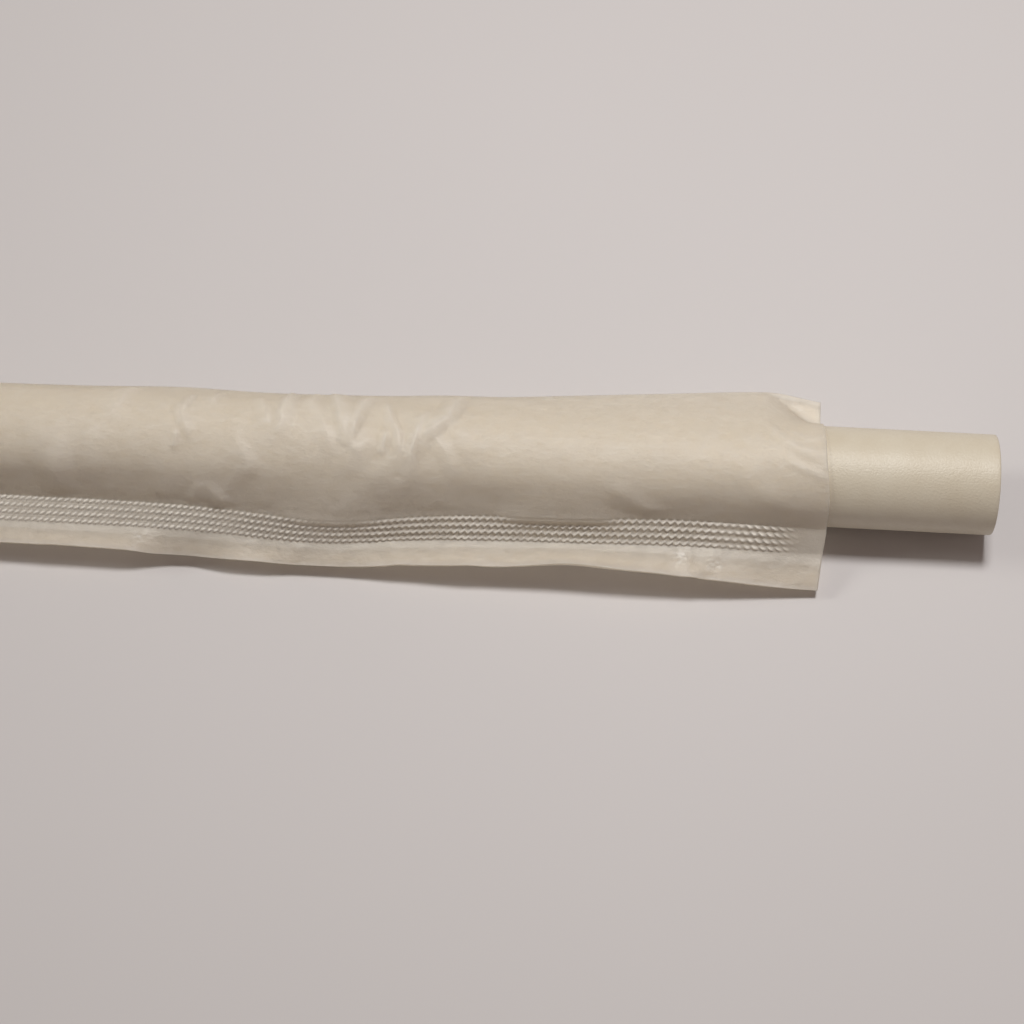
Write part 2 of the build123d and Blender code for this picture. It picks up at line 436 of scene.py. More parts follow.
# %% Creases pressed into the sleeve
# Height, width on the side towards the closed end, width on the side towards the mouth, points.
CREASES = [
    (0.12, 2.6, 0.9, [(32.2, -9.4), (31.8, -8.0), (29.1, -3.0)]),
    (0.14, 0.8, 1.2, [(37.0, -6.0), (37.1, -4.1), (38.3, -1.7), (38.7, -0.6)]),
    (0.18, 1.0, 0.5, [(38.9, -7.6), (38.5, -6.6), (37.6, -3.7)]),
    (0.12, 0.5, 0.5, [(37.1, -1.8), (37.0, 0.9)]),
    (0.14, 1.2, 0.6, [(42.4, -9.0), (41.6, -7.5), (40.8, -5.1)]),
    (0.11, 2.6, 1.2, [(44.0, -1.1), (45.0, 0.6), (47.0, 3.2)]),
    (0.24, 1.1, 1.6, [(50.4, -11.0), (50.0, -8.6), (49.3, -3.1), (48.6, -1.6)]),
    (0.12, 1.4, 0.8, [(46.4, -8.0), (46.9, -6.0), (48.0, -2.2)]),
    (0.14, 1.5, 1.0, [(53.2, -11.0), (53.0, -8.6), (52.6, -4.3)]),
    (0.28, 0.9, 2.6, [(54.9, -10.4), (55.3, -8.0), (56.3, -3.8), (57.0, -1.6)]),
    (0.26, 1.6, 0.8, [(59.9, -9.6), (59.4, -8.0), (58.7, -5.4), (58.1, -3.2), (57.4, -0.9)]),
    (0.10, 0.8, 1.5, [(55.6, -1.8), (57.6, -0.9), (59.2, 0.2)]),
    (0.18, 1.1, 0.7, [(61.5, -7.6), (61.7, -6.5), (62.3, -4.1), (63.2, -2.6), (63.5, 0.8)]),
    (0.20, 0.8, 0.6, [(61.8, -2.8), (61.3, 0.4)]),
    (0.22, 1.2, 0.7, [(66.8, -6.4), (66.4, -5.4), (65.4, -2.8), (64.8, -0.0), (65.0, 2.4)]),
    (0.36, 2.2, 1.1, [(70.6, -10.2), (70.1, -8.6), (69.1, -5.1), (66.6, -2.3), (66.1, -0.6)]),
    (0.12, 0.5, 0.6, [(66.4, -5.4), (64.7, -4.5)]),
    (0.12, 1.0, 2.4, [(40.5, 4.1), (38.1, 8.6)]),
    (0.12, 1.6, 1.0, [(40.5, 4.3), (44.7, 8.6)]),
    (0.12, 0.7, 0.9, [(41.2, 8.7), (45.9, 9.3)]),
    (0.11, 2.4, 1.5, [(88.2, 2.2), (91.6, 4.4), (95.0, 6.4)]),
    (0.07, 1.6, 2.6, [(103.0, -1.0), (105.4, 2.2), (109.5, 4.0)]),
    (0.14, 1.0, 1.4, [(105.9, -8.0), (108.6, -4.4), (111.0, -3.0), (114.2, -2.2)]),
    (0.10, 0.8, 0.8, [(109.2, -6.2), (111.3, -4.6), (114.0, -4.9)]),
    (0.10, 0.5, 0.5, [(108.8, -1.5), (114.1, 0.5)]),
    (0.14, 0.6, 0.6, [(21.0, 7.4), (24.7, 9.2)]),
]
# Small dimples: where along X, where round, how wide, how deep.
DENTS = [
    (63.3, 2.5, 0.5, 0.12), (37.0, 1.2, 0.5, 0.08), (51.0, 2.0, 0.8, 0.10), (110.0, 3.6, 0.35, 0.06),
]
print(len(CREASES), "creases placed,", len(DENTS), "dents")


# %% More creases, scattered
def scattered_creases(count, low, high, around_low, around_high, seed):
    """Milder creases for a stretch of the sleeve, from a fixed seed."""
    rng = np.random.default_rng(seed)
    made = []
    for _ in range(count):
        x, v = rng.uniform(low, high), rng.uniform(around_low, around_high)
        length, lean = rng.uniform(3, 9), rng.normal(0, 0.35)
        bend = rng.normal(0, 0.5)
        middle = (x + lean * length / 2 + bend, v + length / 2)
        points = [(x, v), middle, (x + lean * length, v + length)]
        made.append((rng.uniform(0.05, 0.12), rng.uniform(0.9, 1.8), rng.uniform(1.4, 3.2), points))
    return made


CREASES += scattered_creases(26, CLOSED_X + 22, 14, -11, 6, seed=3)
CREASES += scattered_creases(5, 46, 72, -10, -1, seed=21)
print(len(CREASES), "creases in all")


# %% How high the creases stand
def crease_height(x, v):
    """How far the sheet stands out at places (x along, v round), both arrays of one shape."""
    total = np.zeros_like(x)
    for height, width_back, width_front, points in CREASES:
        points = np.array(points, float)
        best = np.full_like(x, 1e9)
        side = np.zeros_like(x)
        share = np.zeros_like(x)
        lengths = np.hypot(*np.diff(points, axis=0).T)
        done = 0.0
        for (x0, v0), (x1, v1), length in zip(points[:-1], points[1:], lengths):
            t = np.clip(((x - x0) * (x1 - x0) + (v - v0) * (v1 - v0)) / length**2, 0, 1)
            dx, dv = x - (x0 + t * (x1 - x0)), v - (v0 + t * (v1 - v0))
            distance = np.hypot(dx, dv)
            near = distance < best
            best = np.where(near, distance, best)
            side = np.where(near, dx * (v1 - v0) - dv * (x1 - x0), side)
            share = np.where(near, (done + t * length) / lengths.sum(), share)
            done += length
        width = np.where(side < 0, width_back, width_front)
        fade = np.minimum(1, np.minimum(share, 1 - share) * 3.5 + 0.15)
        tent = 2.6 * height * fade * np.clip(1 - best / width, 0, 1)
        total = np.maximum(total, tent) + 0.35 * np.minimum(total, tent)
    for x0, v0, reach, depth in DENTS:
        total -= depth * np.exp(-(((x - x0) ** 2 + (v - v0) ** 2) / reach**2))
    return total


# %% Buckles and slow waves
def buckles(x, v):
    """Shallow flat facets where the sleeve was gripped and pushed: folded waves that cross."""
    rng = np.random.default_rng(12)
    total = np.zeros_like(x)
    for _ in range(26):
        at, round_at = rng.uniform(22, 70), rng.uniform(-10, 5)
        lean, length = rng.normal(0.28, 0.30), rng.uniform(2.2, 4.6)
        sway, phase = rng.uniform(0, 6.28), rng.uniform(0, 2)
        place = (x - at + lean * v + 0.7 * np.sin(v * 0.45 + sway)) / length + phase
        reach = rng.uniform(2.5, 5.0)
        window = np.exp(-(((x - at) / 4.5) ** 2) - ((v - round_at) / reach) ** 2)
        total += rng.uniform(0.12, 0.28) * window * np.abs(place % 2 - 1)
    return total


def slow_waves(x, v, seed, size):
    """Soft unevenness: a few long sine waves that cross."""
    rng = np.random.default_rng(seed)
    total = np.zeros_like(x)
    for _ in range(9):
        angle, length = rng.uniform(0, math.pi), rng.uniform(6, 26)
        phase = rng.uniform(0, 2 * math.pi)
        total += np.sin(2 * math.pi * (x * math.cos(angle) + v * math.sin(angle)) / length + phase)
    return total * size / 9

# %% [markdown]
# ## The crimped seam
#
# The wrapping machine runs the two edges between a pair of toothed wheels. Four narrow rings of
# slanted teeth bite both plies at once and lock their fibres together, with no glue. Each ring
# leaves a row like a twisted cord. A bump texture could suggest the teeth, but they show against
# the light and in the outline, so they are real geometry: the band has about five points per
# tooth, and both its faces move together because the plies were embossed as one. The
# slant drifts along the seam and turns to a zigzag for a while, the first row goes out of sight
# where the slack sleeve bellies over it, and the teeth fade just before the mouth.

# %% Tooth relief
ROWS_AT = (0.30, 1.17, 2.04, 2.91)  # distance out from the root
TOOTH_PITCH = [
    (-114, 0.80), (15, 0.76), (40, 0.74), (66, 0.80), (83, 0.86), (100, 0.93), (114, 0.95),
]
TOOTH_SLANT = [(-114, -1.3), (40, -1.3), (62, -1.0), (78, 0.0), (100, 0.2), (105, 1.4), (114, 1.7)]
ZIGZAG = [(-114, 0.0), (55, 0.0), (68, 0.17), (98, 0.22), (105, 0.03), (114, 0.0)]
TOOTH_HEIGHT = 0.33
grid = np.arange(CLOSED_X - 2, MOUTH_X + 4, 0.02)
TEETH_SO_FAR = np.cumsum(0.02 / wander(grid, TOOTH_PITCH))
print(f"{TEETH_SO_FAR[-1]:.0f} teeth in each row")


def crimp(x, out):
    """Relief of the crimped band at distance out from the root."""
    turns = np.interp(x, grid, TEETH_SO_FAR)
    slant, zigzag = wander(x, TOOTH_SLANT), wander(x, ZIGZAG)
    strength = (1 - ease(x, 107.5, 111.5)) * (0.85 + 0.15 * np.sin(x * 0.9) * np.sin(x * 0.37 + 1))
    total = np.zeros_like(x)
    for row, at in enumerate(ROWS_AT):
        phase = turns + 0.37 * row
        away = out - at - zigzag * (4 * np.abs((phase % 1) - 0.5) - 1)
        chevron = np.clip(zigzag / 0.15, 0, 1)
        rope = np.exp(-(np.abs(away / (0.26 - 0.07 * chevron)) ** 2.6))
        if row == 0:
            rope = rope * (1 - np.clip(wander(x, COVER, 1.0) / 0.45, 0, 1))
        swing = (0.5 + 0.5 * np.cos(2 * math.pi * (phase - slant * away))) ** 1.3
        leg = 0.80 + 0.25 * np.cos(2 * math.pi * (phase - 0.18))
        total += rope * (leg * chevron + (1 - chevron) * (0.10 + 1.10 * swing))
    for low, high in zip(ROWS_AT[:-1], ROWS_AT[1:]):
        total += 0.35 * (1 - ease(x, 40, 66)) * np.exp(-(((out - (low + high) / 2) / 0.10) ** 2))
    return TOOTH_HEIGHT * strength * (total - 0.25), strength * np.clip(total, 0, 1)


# %% [markdown]
# ## Skinning the wrapper
#
# The skin goes from the fold over the straw to the root, out along the top of the seam to the cut
# edge, back along its underside, and under the straw to the fold again. Outside the last crimped
# row the two plies are not joined, so the margin gets inner faces too, a little apart. The inside
# of the sleeve is a second, smoother skin one sheet's thickness in. Four flat sheets with a
# Solidify modifier would be less work, but they would leave gaps where they meet.

# %% Points of the wrapper's skin
SEEN_FROM = 12.0  # rows are closer together from here to the mouth
fine_rows = np.concatenate(
    [np.arange(CLOSED_X, SEEN_FROM, 0.25), np.linspace(SEEN_FROM, MOUTH_X, 785)]
)
last = len(fine_rows) - 1


def row_picks(step_hidden, step_seen):
    """Row numbers for a strip that needs fewer rows than the crimps do."""
    steps = [step_seen if x > SEEN_FROM else step_hidden for x in fine_rows]
    picks = [i for i, step in enumerate(steps) if i % step == 0]
    return np.array(picks if picks[-1] == last else picks + [last])


upper_rows = row_picks(4, 2)
under_rows = row_picks(6, 4)
margin_rows = row_picks(4, 3)
inner_rows = row_picks(8, 6)

# Shares of a ply's width, from the fold to the root, closer together at its two ends.
upper_shares = np.concatenate(
    [[0, 0.004, 0.012, 0.024], np.linspace(0.04, 0.94, 54), [0.955, 0.97, 0.983, 0.993]]
)
under_shares = np.concatenate([[0.004, 0.014, 0.03], np.linspace(0.07, 0.96, 18), [0.99]])
# Distances out from the root, on the top of the seam and on its underside.
band_out = np.linspace(0.0, BAND, 27)
band_out_low = np.linspace(0.0, BAND, 13)
margin_out = np.append(np.linspace(BAND + 0.15, SEAM - 0.05, 9), SEAM)
margin_out_low = np.append(np.linspace(BAND + 0.3, SEAM - 0.05, 5), SEAM)
print(len(fine_rows), "rows in the crimps,", len(upper_rows), "over the straw")


def along(line, shares):
    """Points of a line at these shares of its length."""
    return read_off(line, np.arange(len(line)), np.asarray(shares) * (len(line) - 1))


# %% [markdown]
# The margin outside the crimps is plain and loose, so handling has left soft folds in it and a gap
# that opens and closes between its plies. Noise would wave it evenly all along. We list the folds
# instead, each where the paper was bent.

# %% The seam's points
# Soft folds across the margin: where along X, how they lean, how far they reach, how high.
MARGIN_FOLDS = [
    (33.4, -0.35, 2.4, 0.35), (24.0, 0.3, 2.0, 0.2), (62.0, -0.5, 1.5, 0.3),
    (97.6, -0.2, 1.4, 0.3), (102.0, 0.8, 1.3, 0.35), (70.5, -0.4, 2.2, 0.3),
    (52.0, 0.9, 3.0, 0.25), (86.0, 0.3, 3.5, 0.2), (9.0, 0.4, 3.0, 0.3),
]


def facets(x, out):
    """Flat patches in the margin with soft folds between them, from being handled."""
    total = 0.05 * np.sin(x * 0.8 + out)
    for at, lean, reach, height in MARGIN_FOLDS:
        total = total + height * np.clip(1 - np.abs(x - at + lean * (out - BAND)) / reach, 0, 1)
    return 0.6 * total + 0.08 * np.abs(((x * 0.09 + 0.2 * out) % 2) - 1)


def seam_points(x, out_at, level):
    """Points of the seam: level 1 is its top face, -1 its underside, and a hair above or below 0
    the upper or lower ply's inner face, with the gap between the two."""
    out, line, normal = SEAMS[x]
    gap = (0.10 + 0.10 * math.sin(x * 0.13) ** 2) * ease(out_at, BAND + 0.2, SEAM)
    lift = crimp(np.full_like(out_at, x), out_at)[0] * (1 - ease(out_at, BAND - 0.2, BAND + 0.1))
    handled = 0.4 + 0.6 * ease(x, CLOSED_X, CLOSED_X + 30)
    lift = lift + facets(x, out_at) * ease(out_at, BAND, BAND + 0.8) * handled
    if abs(level) < 1:
        thick = SHEET * level + gap * (1 if level > 0 else -1) / 2
    else:
        thick = (SHEET + gap / 2) * level
    middle, up = read_off(line, out, out_at), read_off(normal, out, out_at)
    return middle + up * (lift + thick)[:, None]


# %% [markdown]
# At the closed end the machine pressed the sleeve flat, and the sheet comes down to it in a short
# taper. A lattice could squeeze the finished mesh, but would squeeze its teeth too. We blend each
# section into a flat one, gently waved, while it is still a line of points.

# %% Every section, and the pressed end
# Where the pressed end stops and the round sleeve begins, and how the flat end lies.
PRESSED_TO, ROUND_FROM = CLOSED_X + 7, CLOSED_X + 17.4
FLAT_FOLD_Y, FLAT_WIDTH, FLAT_Z = 11.7, 21.1, 2.4


def pressed_ply(line, x, flat, side):
    """Blends a ply's section into the gently waved flat of the pressed end; side is 1 or -1."""
    share = np.linspace(0, 1, len(line))
    height = FLAT_Z + 0.3 * math.sin(x / 2.7)
    slope = 0.25 * np.sin(share * 5 + x / 4)
    level = np.stack([FLAT_FOLD_Y - FLAT_WIDTH * share, height + side * 0.08 + slope], 1)
    return line * (1 - flat) + level * flat


SEAMS, UPPERS, UNDERS = {}, {}, {}
for x in fine_rows:
    upper, lower, out, seam, normal = section(x)
    flat = float(1 - ease(x, PRESSED_TO, ROUND_FROM))  # 0 where the sleeve is round
    if flat > 0:
        upper = pressed_ply(upper, x, flat, 1)
        lower = pressed_ply(lower, x, flat, -1)
        height = FLAT_Z + 0.3 * math.sin(x / 2.7)
        root_flat = np.array([FLAT_FOLD_Y - FLAT_WIDTH, height + 0.25 * math.sin(5 + x / 4)])
        wave = 0.2 * np.sin(out / 2 + x / 5) - 0.2 * math.sin(x / 5)
        seam_flat = np.stack([root_flat[0] - out, root_flat[1] + wave], 1)
        seam = seam * (1 - flat) + seam_flat * flat
        run = np.gradient(seam, axis=0)
        normal = np.stack([run[:, 1], -run[:, 0]], 1) / np.hypot(*run.T)[:, None]
    SEAMS[x], UPPERS[x], UNDERS[x] = (out, seam, normal), upper, lower
print(f"{len(SEAMS)} sections, pressed flat to {PRESSED_TO:.0f} mm, round from {ROUND_FROM:.0f} mm")


# %% Grids of points
def grid_of(rows, make_row):
    """Stacks one row of (y, z) points per x into an array of 3-D points."""
    return np.array([np.insert(make_row(x), 0, x, axis=1) for x in fine_rows[rows]])


def normals_of(points):
    """The direction square to a grid of points, at each point."""
    d_row = np.gradient(points, axis=0)
    d_col = np.gradient(points, axis=1)
    normal = np.cross(d_col, d_row)
    return normal / np.maximum(np.linalg.norm(normal, axis=2, keepdims=True), 1e-9)


# The mouth's cut: at these places across, this far along X from the mean.
CUT_AT_Y, CUT_BY = (-13, -7, -5, -1, 6), (-0.2, 0.42, 0.25, -0.3, -0.5)


def skewed(points):
    """Leans the last stretch so that the mouth is one cut, not quite square."""
    near = ease(points[..., 0], MOUTH_X - 14, MOUTH_X)
    out = points.copy()
    out[..., 0] += near * np.interp(points[..., 1], CUT_AT_Y, CUT_BY)
    return out


# %% Lift the sleeve into its creases
UP_AND_FORWARD = 115  # degrees round from +Y, where creases count their distance from
SLACK_ALL_ROUND, DEEPEST = 0.05, -0.04  # the lift a plain sleeve has, and the least it may have
upper_grid = grid_of(upper_rows, lambda x: along(UPPERS[x], upper_shares))
normal = normals_of(upper_grid)
if normal[len(normal) // 2, 20, 2] < 0:
    normal = -normal
angle = np.arctan2(upper_grid[..., 2] - AXIS_Z, upper_grid[..., 1])
angle = np.where(angle < -math.pi / 2, angle + 2 * math.pi, angle)
around = OVER_RADIUS * (angle - math.radians(UP_AND_FORWARD))
along_x = upper_grid[..., 0]
unpinned = ease(upper_shares, 0.0, 0.03) * (1 - ease(upper_shares, 0.90, 0.985))
round_part = ease(along_x, CLOSED_X + 8, CLOSED_X + 22)
lift = crease_height(along_x, around) + slow_waves(along_x, around, 5, 0.16) + SLACK_ALL_ROUND
lift = lift + buckles(along_x, around)
lift = np.maximum(lift, DEEPEST) * unpinned * round_part
upper_grid = upper_grid + normal * lift[..., None]
# The inside skin follows the lowest of the neighbouring lifts, so the two never cross.
neighbours = [np.roll(lift, step, axis) for step, axis in ((2, 0), (-2, 0), (1, 1), (-1, 1))]
inner_lift = np.minimum.reduce([lift] + neighbours)
print("upper ply lift", lift.min().round(3), lift.max().round(3))

under_grid = grid_of(under_rows, lambda x: along(UNDERS[x], under_shares))

# %% [markdown]
# The strips now become one mesh. Each point can also carry numbers, which the material reads
# later: where the paper stands proud, which is painted lighter; where it was rubbed, which is
# shinier and gets a painted glint; where the band lies between the teeth, which gets painted shade;
# where the teeth's crests are, which get a painted highlight; and which faces are inside the
# margin.

# %% Join the strips into one skin
skin = Skin()
up_ids = skin.add(skewed(upper_grid))
under_ids = skin.add(skewed(under_grid))
skin.quads(up_ids)
skin.quads(under_ids, flip=True)
# Where the sheet stands proud of the straw, the material paints it lighter: painted light on the raised
# facets.
skin.mark("proud_painted_light", up_ids, np.clip((lift - 0.12) / 0.6, 0, 1))
# A rubbed spot beside the flap's crease near the mouth: shinier, and painted lighter as a glint.
part_y = np.array([fold_line(x)[1][0] for x in fine_rows[upper_rows]])[:, None]
near_mouth = ease(upper_grid[..., 0], 106.0, 107.4)
off_part = upper_grid[..., 1] - part_y
glint_patch = -(((off_part - 0.8) / 0.5) ** 2) - ((upper_grid[..., 0] - 111.2) / 1.4) ** 2
skin.mark("rubbed_and_glint", up_ids, near_mouth * 0.5 * np.exp(glint_patch))


def seam_block(rows, out_at, level):
    return skin.add(skewed(grid_of(rows, lambda x: seam_points(x, out_at, level))))


every_row = np.arange(last + 1)
low_rows = row_picks(2, 2)
band_top = seam_block(every_row, band_out, 1)
band_low = seam_block(low_rows, band_out_low, -1)
margin_top = seam_block(margin_rows, margin_out, 1)
margin_low = seam_block(margin_rows, margin_out_low, -1)
margin_in_top = seam_block(inner_rows, margin_out_low[[1, 3, 5]], 0.001)
margin_in_low = seam_block(inner_rows, margin_out_low[[1, 3, 5]], -0.001)
strips = [
    (band_top, False), (band_low, True), (margin_top, False),
    (margin_low, True), (margin_in_top, True), (margin_in_low, False),
]
for ids, flip in strips:
    skin.quads(ids, flip)

X = fine_rows
# How far each tooth's crest stands up. The material makes the paper denser and glossier there, and
# paints it lighter as a highlight.
crest_and_highlight = np.array([crimp(np.full_like(band_out, x), band_out)[1] for x in X])
skin.mark("crest_and_highlight", band_top, crest_and_highlight)
# The crimped band, up to just before the mouth, where the material paints shade between the teeth.
before_mouth = 1 - ease(X, 109, 112.5)
within_band = ease(band_out, -0.3, 0.2) * (1 - ease(band_out, BAND - 0.12, BAND))
skin.mark("band_shade", band_top, np.outer(before_mouth, within_band))
for ids in (margin_in_top, margin_in_low):
    skin.mark("inside", ids, np.ones(ids.shape))
# Rubbed spots in the margin, shinier and with a painted glint: where along X, how far out from the
# root, and how long.
RUBBED_GLINTS = [(97.2, 4.6, 0.8), (101.4, 5.4, 0.7), (33.0, 5.0, 0.5)]
rubbed_and_glint = 0
for at, far, reach in RUBBED_GLINTS:
    off_x = X[margin_rows, None] - at + 0.3 * (margin_out - 5)
    rubbed_and_glint = rubbed_and_glint + np.exp(-((off_x / reach) ** 2) - ((margin_out - far) / 1.1) ** 2)
skin.mark("rubbed_and_glint", margin_top, rubbed_and_glint)
skin.zip(up_ids[:, -1], X[upper_rows], band_top[:, 0], X[every_row])
skin.zip(band_top[:, -1], X[every_row], margin_top[:, 0], X[margin_rows])
skin.zip(margin_top[:, -1], X[margin_rows], margin_in_top[:, -1], X[inner_rows])
skin.zip(margin_in_top[:, 0], X[inner_rows], margin_in_low[:, 0], X[inner_rows])
skin.zip(margin_in_low[:, -1], X[inner_rows], margin_low[:, -1], X[margin_rows])
skin.zip(margin_low[:, 0], X[margin_rows], band_low[:, -1], X[low_rows])
skin.zip(band_low[:, 0], X[low_rows], under_ids[:, -1], X[under_rows])
skin.zip(under_ids[:, 0], X[under_rows], up_ids[:, 0], X[upper_rows])
print("outside and margin:", skin.count, "points,", len(skin.faces), "faces")


# %% [markdown]
# The inside skin is a closed loop of points, one sheet's thickness in from the outside. It starts
# at the mouth and ends where the sleeve is pressed shut.

# %% The inside of the sleeve
inside_rows = np.array([i for i in inner_rows if X[i] > CLOSED_X + 9])
up_cols = np.arange(3, len(upper_shares), 2)
under_cols = np.arange(2, len(under_shares))


def inset(grid, normals, rows, wanted, cols, extra):
    """Points of a grid moved in by one sheet, read at other rows and at chosen columns."""
    moved = grid - normals * (SHEET + extra)[..., None]
    made = np.empty((len(wanted), len(cols), 3))
    for j, col in enumerate(cols):
        for k in range(3):
            made[:, j, k] = np.interp(X[wanted], X[rows], moved[:, col, k])
    return made


under_normal = normals_of(under_grid)
if under_normal[len(under_normal) // 2, 15, 2] > 0:
    under_normal = -under_normal
inner_up = inset(upper_grid, normal, upper_rows, inside_rows, up_cols, lift - inner_lift)
no_lift = np.zeros(under_grid.shape[:2])
inner_low = inset(under_grid, under_normal, under_rows, inside_rows, under_cols, no_lift)
ring = skin.add(skewed(np.concatenate([inner_up, inner_low[:, ::-1]], axis=1)))
skin.quads(np.pad(ring, ((0, 0), (0, 1)), "wrap"), flip=True)
print("inside:", ring.shape[0], "rows of", ring.shape[1], "points")

# %% [markdown]
# An open edge would show as a paper with no thickness, and would spoil the measured volume. The
# two ends are closed with zips across the sheet's thickness and a few small corner faces.

# %% Close the two ends
n_up = len(up_cols)


def end_zip(a, b, flip):
    """Triangles between two edges of an end, walking both at an even pace."""
    skin.zip(a, np.linspace(0, 1, len(a)), b, np.linspace(0, 1, len(b)), flip)


for row, flip in ((-1, False), (0, True)):
    end_zip(band_top[row], band_low[row], not flip)
    band_edge, under_edge = band_top[row, -1:], band_low[row, -1:]
    for a_edge, a, b in (
        (band_edge, margin_top, margin_in_top),
        (under_edge, margin_in_low, margin_low),
    ):
        end_zip(np.append(a_edge, a[row]), np.append(under_edge, b[row]), not flip)
# At the mouth the outer edge of each ply joins its inner edge; at the closed end the plies meet.
ring_up, ring_low = ring[-1, :n_up], ring[-1, n_up:][::-1]
end_zip(np.append(up_ids[-1], band_top[-1, 0]), np.append(ring_up, ring_up[-1]), True)
end_zip(np.append(under_ids[-1], band_low[-1, 0]), np.append(ring_low, ring_low[-1]), False)
end_zip(up_ids[0], under_ids[0], False)
end_zip(ring[0, :n_up], ring[0, n_up:][::-1], True)
# Small faces fill the corners: at the fold and the root, and where the two plies part.
corners = [
    (band_top[0, 0], up_ids[0, -1], under_ids[0, -1], band_low[0, 0]),
    (up_ids[-1, 0], under_ids[-1, 0], ring[-1, -1], ring[-1, 0]),
    (band_top[-1, 0], ring[-1, n_up - 1], ring[-1, n_up], band_low[-1, 0]),
]
corners += [(band_low[row, -1], margin_in_top[row, 0], margin_in_low[row, 0]) for row in (0, -1)]
skin.faces += [[int(v) for v in corner] for corner in corners]

wrapper = skin.make("paper_wrapper")
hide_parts("wrapper")
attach(wrapper, "wrapper")
wrapper_box = np.array(wrapper.bound_box)
print("wrapper box", wrapper_box.min(0).round(4).tolist(), wrapper_box.max(0).round(4).tolist())

# %% [markdown]
# ## Shader maths
#
# Material nodes are easier to read as sums than as a web of boxes. A small class wraps an output
# socket, so that `1 - mask * 0.3` adds its own Math nodes. One method makes any other node: its
# type, its settings, and what goes into its sockets. Colours are mixed, never added as numbers.


# %% A socket that does sums
class Wire:
    """An output socket of a node tree, which can be added, taken away, multiplied and mixed."""

    def __init__(self, tree, socket):
        self.tree, self.socket = tree, socket

    def node(self, kind, settings=None, **inputs):
        """Makes a node, sets it up, fills its sockets, and returns it. A socket goes by its
        name, with _ for each space, or by its number after an i, as in i0."""
        made = self.tree.nodes.new(kind)
        for key, value in (settings or {}).items():
            setattr(made, key, value)
        for key, value in inputs.items():
            name = key.replace("_", " ")
            socket = made.inputs[int(key[1:])] if key[1:].isdigit() else made.inputs[name]
            if isinstance(value, Wire):
                self.tree.links.new(value.socket, socket)
            else:
                socket.default_value = value
        return made

    def out(self, made, name=0):
        return Wire(self.tree, made.outputs[name])

    def math(self, operation, a, b):
        return self.out(self.node("ShaderNodeMath", {"operation": operation}, i0=a, i1=b))

    def __add__(self, other):
        return self.math("ADD", self, other)

    def __mul__(self, other):
        return self.math("MULTIPLY", self, other)

    def __sub__(self, other):
        return self.math("SUBTRACT", self, other)

    def __rsub__(self, other):
        return self.math("SUBTRACT", other, self)

    __radd__, __rmul__ = __add__, __mul__

    def mix(self, low, high):
        """Between two colours, by this value."""
        made = self.node("ShaderNodeMix", {"data_type": "RGBA"}, i0=self, i6=low, i7=high)
        return self.out(made, 2)


# %% Materials, noise and marks
def new_material(name):
    """An empty material, and its texture coordinates in metres as a Wire."""
    material = bpy.data.materials.new(name)
    material.use_nodes = True
    tree = material.node_tree
    tree.nodes.clear()
    place = tree.nodes.new("ShaderNodeTexCoord")
    return material, Wire(tree, place.outputs["Object"])


def noise(place, scale, stretch=(1, 1, 1), detail=3.0, roughness=0.5):
    """Noise from 0 to 1, scale features per metre, stretched along each axis."""
    mapped = place.out(place.node("ShaderNodeMapping", None, Vector=place, Scale=stretch))
    made = place.node(
        "ShaderNodeTexNoise", {"noise_dimensions": "3D"},
        Vector=mapped, Scale=scale, Detail=detail, Roughness=roughness,
    )
    return place.out(made, "Fac")


def mark(place, name):
    """A number kept in the mesh for each point."""
    return place.out(place.node("ShaderNodeAttribute", {"attribute_name": name}), "Fac")


def level(value, low, high):
    """0 below low and 1 above high."""
    made = value.node("ShaderNodeMapRange", {"clamp": True}, Value=value, From_Min=low, From_Max=high)
    return value.out(made)


# %% [markdown]
# ## The wrapper's paper
#
# This is thin machine-glazed paper. It is slightly cloudy, because the fibres settle in clumps,
# and its fibres run mostly along the web. Light comes through it: the seam's shadow on the table
# is far lighter than the straw's. So the shader is a mix of a reflecting surface and a translucent
# one, which suits a sheet better than the glass-like light of Transmission. The skin has two
# faces for each sheet, and the mix allows for light crossing both. The two plies of the margin lie
# so close that they pass light like one sheet, so their inner faces let nearly all of it through.
# The numbers kept at each point say where the sheet stands proud, which is painted lighter; where
# it was rubbed shiny, which also gets a painted glint; where the band lies between teeth, which
# gets painted shade; and where a tooth's crest packs it dense, which also gets a painted
# highlight.

# %% Wrapper paper
SHEET_LIT = (0.985, 0.965, 0.915, 1)
SHEET_THICK = (0.96, 0.935, 0.875, 1)
# Painted highlight colour, mixed in where the sheet stands proud and on the rubbed glints.
PAINTED_HIGHLIGHT = (0.985, 0.97, 0.93, 1)
FLECK = (0.62, 0.53, 0.41, 1)
# Painted shade between the teeth of the crimped band.
SHADE_BETWEEN_TEETH = (0.86, 0.77, 0.63, 1)
# Painted highlight on the teeth's crests.
CREST_HIGHLIGHT = (1.0, 0.965, 0.875, 1)
THROUGH = (0.986, 0.955, 0.896, 1)


